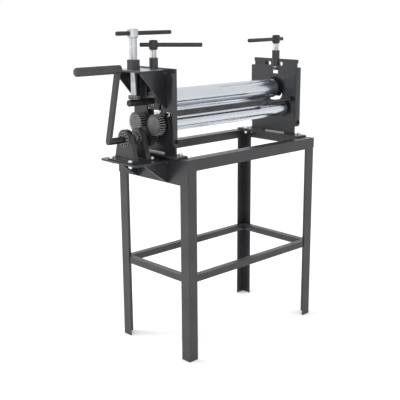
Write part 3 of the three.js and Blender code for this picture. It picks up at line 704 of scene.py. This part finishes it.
# ------------------------------------------------------------------ fasteners
def bolt(name, x, y, top, bottom):
    """A hexagon bolt with washers and nut through the plates between two heights."""
    b = BOLT
    washer = [[0, b["shank"]], [0, b["washer"]],
              [b["washer_thick"], b["washer"]], [b["washer_thick"], b["shank"]]]
    origin = at(x, y, 0)
    low_nut = bottom - b["washer_thick"]
    over = [[z + top, r] for z, r in washer]
    under = [[z + low_nut, r] for z, r in washer]
    nut = hexagon(b["corner"], -(low_nut), -(low_nut - b["nut"]), x, y)
    nut.transform(Matrix.Scale(-1, 4, (0, 0, 1)))
    bmesh.ops.reverse_faces(nut, faces=nut.faces)
    head_base = top + b["washer_thick"]
    shank_end = low_nut - b["nut"] - b["tail"]
    body = merged(
        revolved(over, origin, UP, 32, closed=True), revolved(under, origin, UP, 32, closed=True),
        hexagon(b["corner"], head_base, head_base + b["head"], x, y), nut,
        revolved(chamfered(shank_end, head_base + 0.5, b["shank"], 0.8), origin, UP, 24))
    piece = place(name, to_mesh(body, name), "root", ZINC)
    broken_edges(piece, BOLT_EDGE)


def fasteners():
    for i, (x, y) in enumerate(BASE_BOLTS):
        bolt(f"base_bolt_{i + 1}", x, y, *BASE_GRIP)
    for i, (x, y) in enumerate(FOOT_BOLTS):
        bolt(f"foot_bolt_{i + 1}", x, y, *FOOT_GRIP)
    for side, facts in SIDES.items():
        x = facts["inner"] + facts["outward"] * 14
        front = low(f"side_plate_{side}").y / MM + STAND_MIDDLE
        profile = [[0, 0], [0, 5.8], [8.5, 5.8], [8.5, 9.5], [11.2, 9.5],
                   [13.2, 7.5], [13.2, 4], [10.4, 4], [10.4, 0]]
        origin = at(x, front + SIDE_THICK + 0.2, 968)
        turned(f"flange_screw_{side}", profile, origin, (0, -1, 0), "root", BLACK_SEAL_AND_SHADE)


# ------------------------------------------------------------------ welds
def bead(name, points, radius):
    """A weld bead along a line of points in CAD millimetres: overlapping ripples, slightly uneven."""
    path = [at(*point) for point in points]
    work = bmesh.new()
    rings = []
    count = 0
    for a, b in zip(path, path[1:]):
        steps = max(2, round((b - a).length / (1.3 * MM)))
        along = (b - a).normalized()
        side = along.orthogonal().normalized()
        other = along.cross(side)
        for k in range(steps + 1):
            centre = a.lerp(b, k / steps)
            swell = radius * (0.82 + 0.18 * abs(math.sin(count * 0.9)) + 0.05 * math.sin(count * 0.37))
            count += 1
            rings.append([work.verts.new(centre + (side * math.cos(t) + other * math.sin(t)) * swell * MM)
                          for t in (2 * math.pi * i / 10 for i in range(10))])
    skinned(work, rings)
    place(name, to_mesh(work, name), "root", LOOKS["black_paint"], math.radians(75))


def welds():
    for side, facts in SIDES.items():
        outer = facts["inner"] + facts["outward"] * SIDE_THICK
        for face, x, radius in (("outside", outer, 3), ("inside", facts["inner"], 2.6)):
            bead(f"weld_{face}_{side}_front", [(x, -126, BASE_TOP), (x, -70, BASE_TOP)], radius)
            bead(f"weld_{face}_{side}_rear", [(x, 70, BASE_TOP), (x, 131, BASE_TOP)], radius)
    for sign, end in ((-1, "front"), (1, "rear")):
        y = STAND_MIDDLE + sign * 79
        web = SIDES["left"]["inner"] - SIDE_THICK
        bead(f"weld_tail_{end}", [(web, y, 1105), (web, y, 1238)], 2.4)
        bead(f"weld_bracket_{end}", [(-4, sign * 95.5, 800), (-4, sign * 95.5, 864)], 2.4)
    corners = ((-21, -16), (-17, -20), (17, -20), (21, -16), (21, 16), (17, 20), (-17, 20), (-21, 16),
               (-21, -16))
    bead("weld_tail_boss", [(TAIL_X + across, y, 1262) for across, y in corners], 2.2)
    for name, face in PEDESTAL_FACES.items():
        for part, x in (("near", face), ("far", face + PEDESTAL_THICK)):
            bead(f"weld_pedestal_{name}_{part}", [(x, -62, FOOT_TOP), (x, 62, FOOT_TOP)], 2)


# ------------------------------------------------------------------ the rest of the CAD nodes
def gears():
    """The gears as in the CAD, with painted shade darkening their teeth towards the roots."""
    for node in GEAR_AXES:
        piece = refined(node, FINE_EDGE)
        dark = node == "drive_pinion"
        if dark:
            piece.data.materials[0] = LOOKS["black_paint"]
        piece.data.materials.append(gear_teeth(node, 0.10 if dark else 0.30))
        for face in piece.data.polygons:
            if abs(face.normal.x) < 0.5:
                face.material_index = 1


def sight_hole_shade_discs():
    """Round black discs beside the sight holes, on the right plate's inner face: painted shade for the
    holes' shadowed walls.
    """
    r = SIGHT_HOLE_SHADE["r"]
    dome = [[0, 0], [0, r], [0.8, r], [1.6, r - 1], [1.8, 0]]
    for i, y in enumerate(SIGHT_HOLE_SHADE["y"]):
        origin = at(SIDES["right"]["inner"], y, SIGHT_HOLE_SHADE["z"])
        turned(f"sight_hole_shade_disc_{i + 1}", dome, origin, (-1, 0, 0), "root", BLACK_SEAL_AND_SHADE, width=0)


def tail_plate():
    """The tail support's plate, its upper face coloured bright as a painted highlight."""
    piece = refined("tail_top_plate")
    piece.data.materials.append(painted_highlight_top())
    for face in piece.data.polygons:
        # upward faces get the bright colour: painted highlight
        if face.normal.z > 0.9:
            face.material_index = 1


def plates():
    """Every node that no piece stands for yet, as in the CAD with broken edges."""
    replaced = {node for node in NODES if NODES[node].hide_render}
    for node in sorted(set(NODES) - replaced):
        refined(node, FINE_EDGE if node == "crank_shaft_bush" else EDGE)


rolls()
tie_rod()
t_bars()
lift_screws()
tail_screw()
crank()
pedestal_bearings()
bearing_blocks()
window_shade_sheet()
fasteners()
welds()
gears()
sight_hole_shade_discs()
tail_plate()
plates()


# ------------------------------------------------------------------ stage, light and camera
LAMPS = {
    "key": {"place": (-2.2, 2.6, 3.4), "size": 2.2, "energy": 60},
    "fill": {"place": (-3.0, -3.0, 2.5), "size": 3.0, "energy": 25},
}
AIM = (0, 0, 0.9)
CAMERA = {"place": (-2.3482, -2.5816, 1.5262), "tilt": 13.988, "heading": -44.714,
          "lens": 70.92, "sensor": 36, "shift": -0.0503}


def studio():
    world = bpy.data.worlds.new("studio")
    bpy.context.scene.world = world
    world.use_nodes = True
    background = world.node_tree.nodes["Background"]
    background.inputs["Color"].default_value = (1, 1, 1, 1)
    background.inputs["Strength"].default_value = 1.0

    bpy.ops.mesh.primitive_plane_add(size=200, location=(0, 0, 0))
    floor = bpy.context.object
    floor.name = "floor"
    material = bpy.data.materials.new("floor_white")
    material.use_nodes = True
    shader = material.node_tree.nodes["Principled BSDF"]
    shader.inputs["Base Color"].default_value = (1, 1, 1, 1)
    shader.inputs["Roughness"].default_value = 1.0
    shader.inputs["Specular IOR Level"].default_value = 0.0
    shader.inputs["Emission Color"].default_value = (1, 1, 1, 1)
    shader.inputs["Emission Strength"].default_value = 0.12
    floor.data.materials.append(material)

    for name, facts in LAMPS.items():
        light = bpy.data.lights.new(name, "AREA")
        light.size = facts["size"]
        light.energy = facts["energy"]
        lamp = bpy.data.objects.new(name, light)
        lamp.location = facts["place"]
        aim = Vector(AIM) - Vector(facts["place"])
        lamp.rotation_euler = aim.to_track_quat("-Z", "Y").to_euler()
        bpy.context.collection.objects.link(lamp)


def camera():
    lens = bpy.data.cameras.new("camera")
    lens.sensor_width = CAMERA["sensor"]
    lens.lens = CAMERA["lens"]
    lens.shift_x = CAMERA["shift"]
    eye = bpy.data.objects.new("camera", lens)
    eye.location = CAMERA["place"]
    eye.rotation_euler = (math.radians(90 - CAMERA["tilt"]), 0, math.radians(CAMERA["heading"]))
    bpy.context.collection.objects.link(eye)
    bpy.context.scene.camera = eye


studio()
camera()
bpy.context.scene.view_settings.view_transform = "Standard"
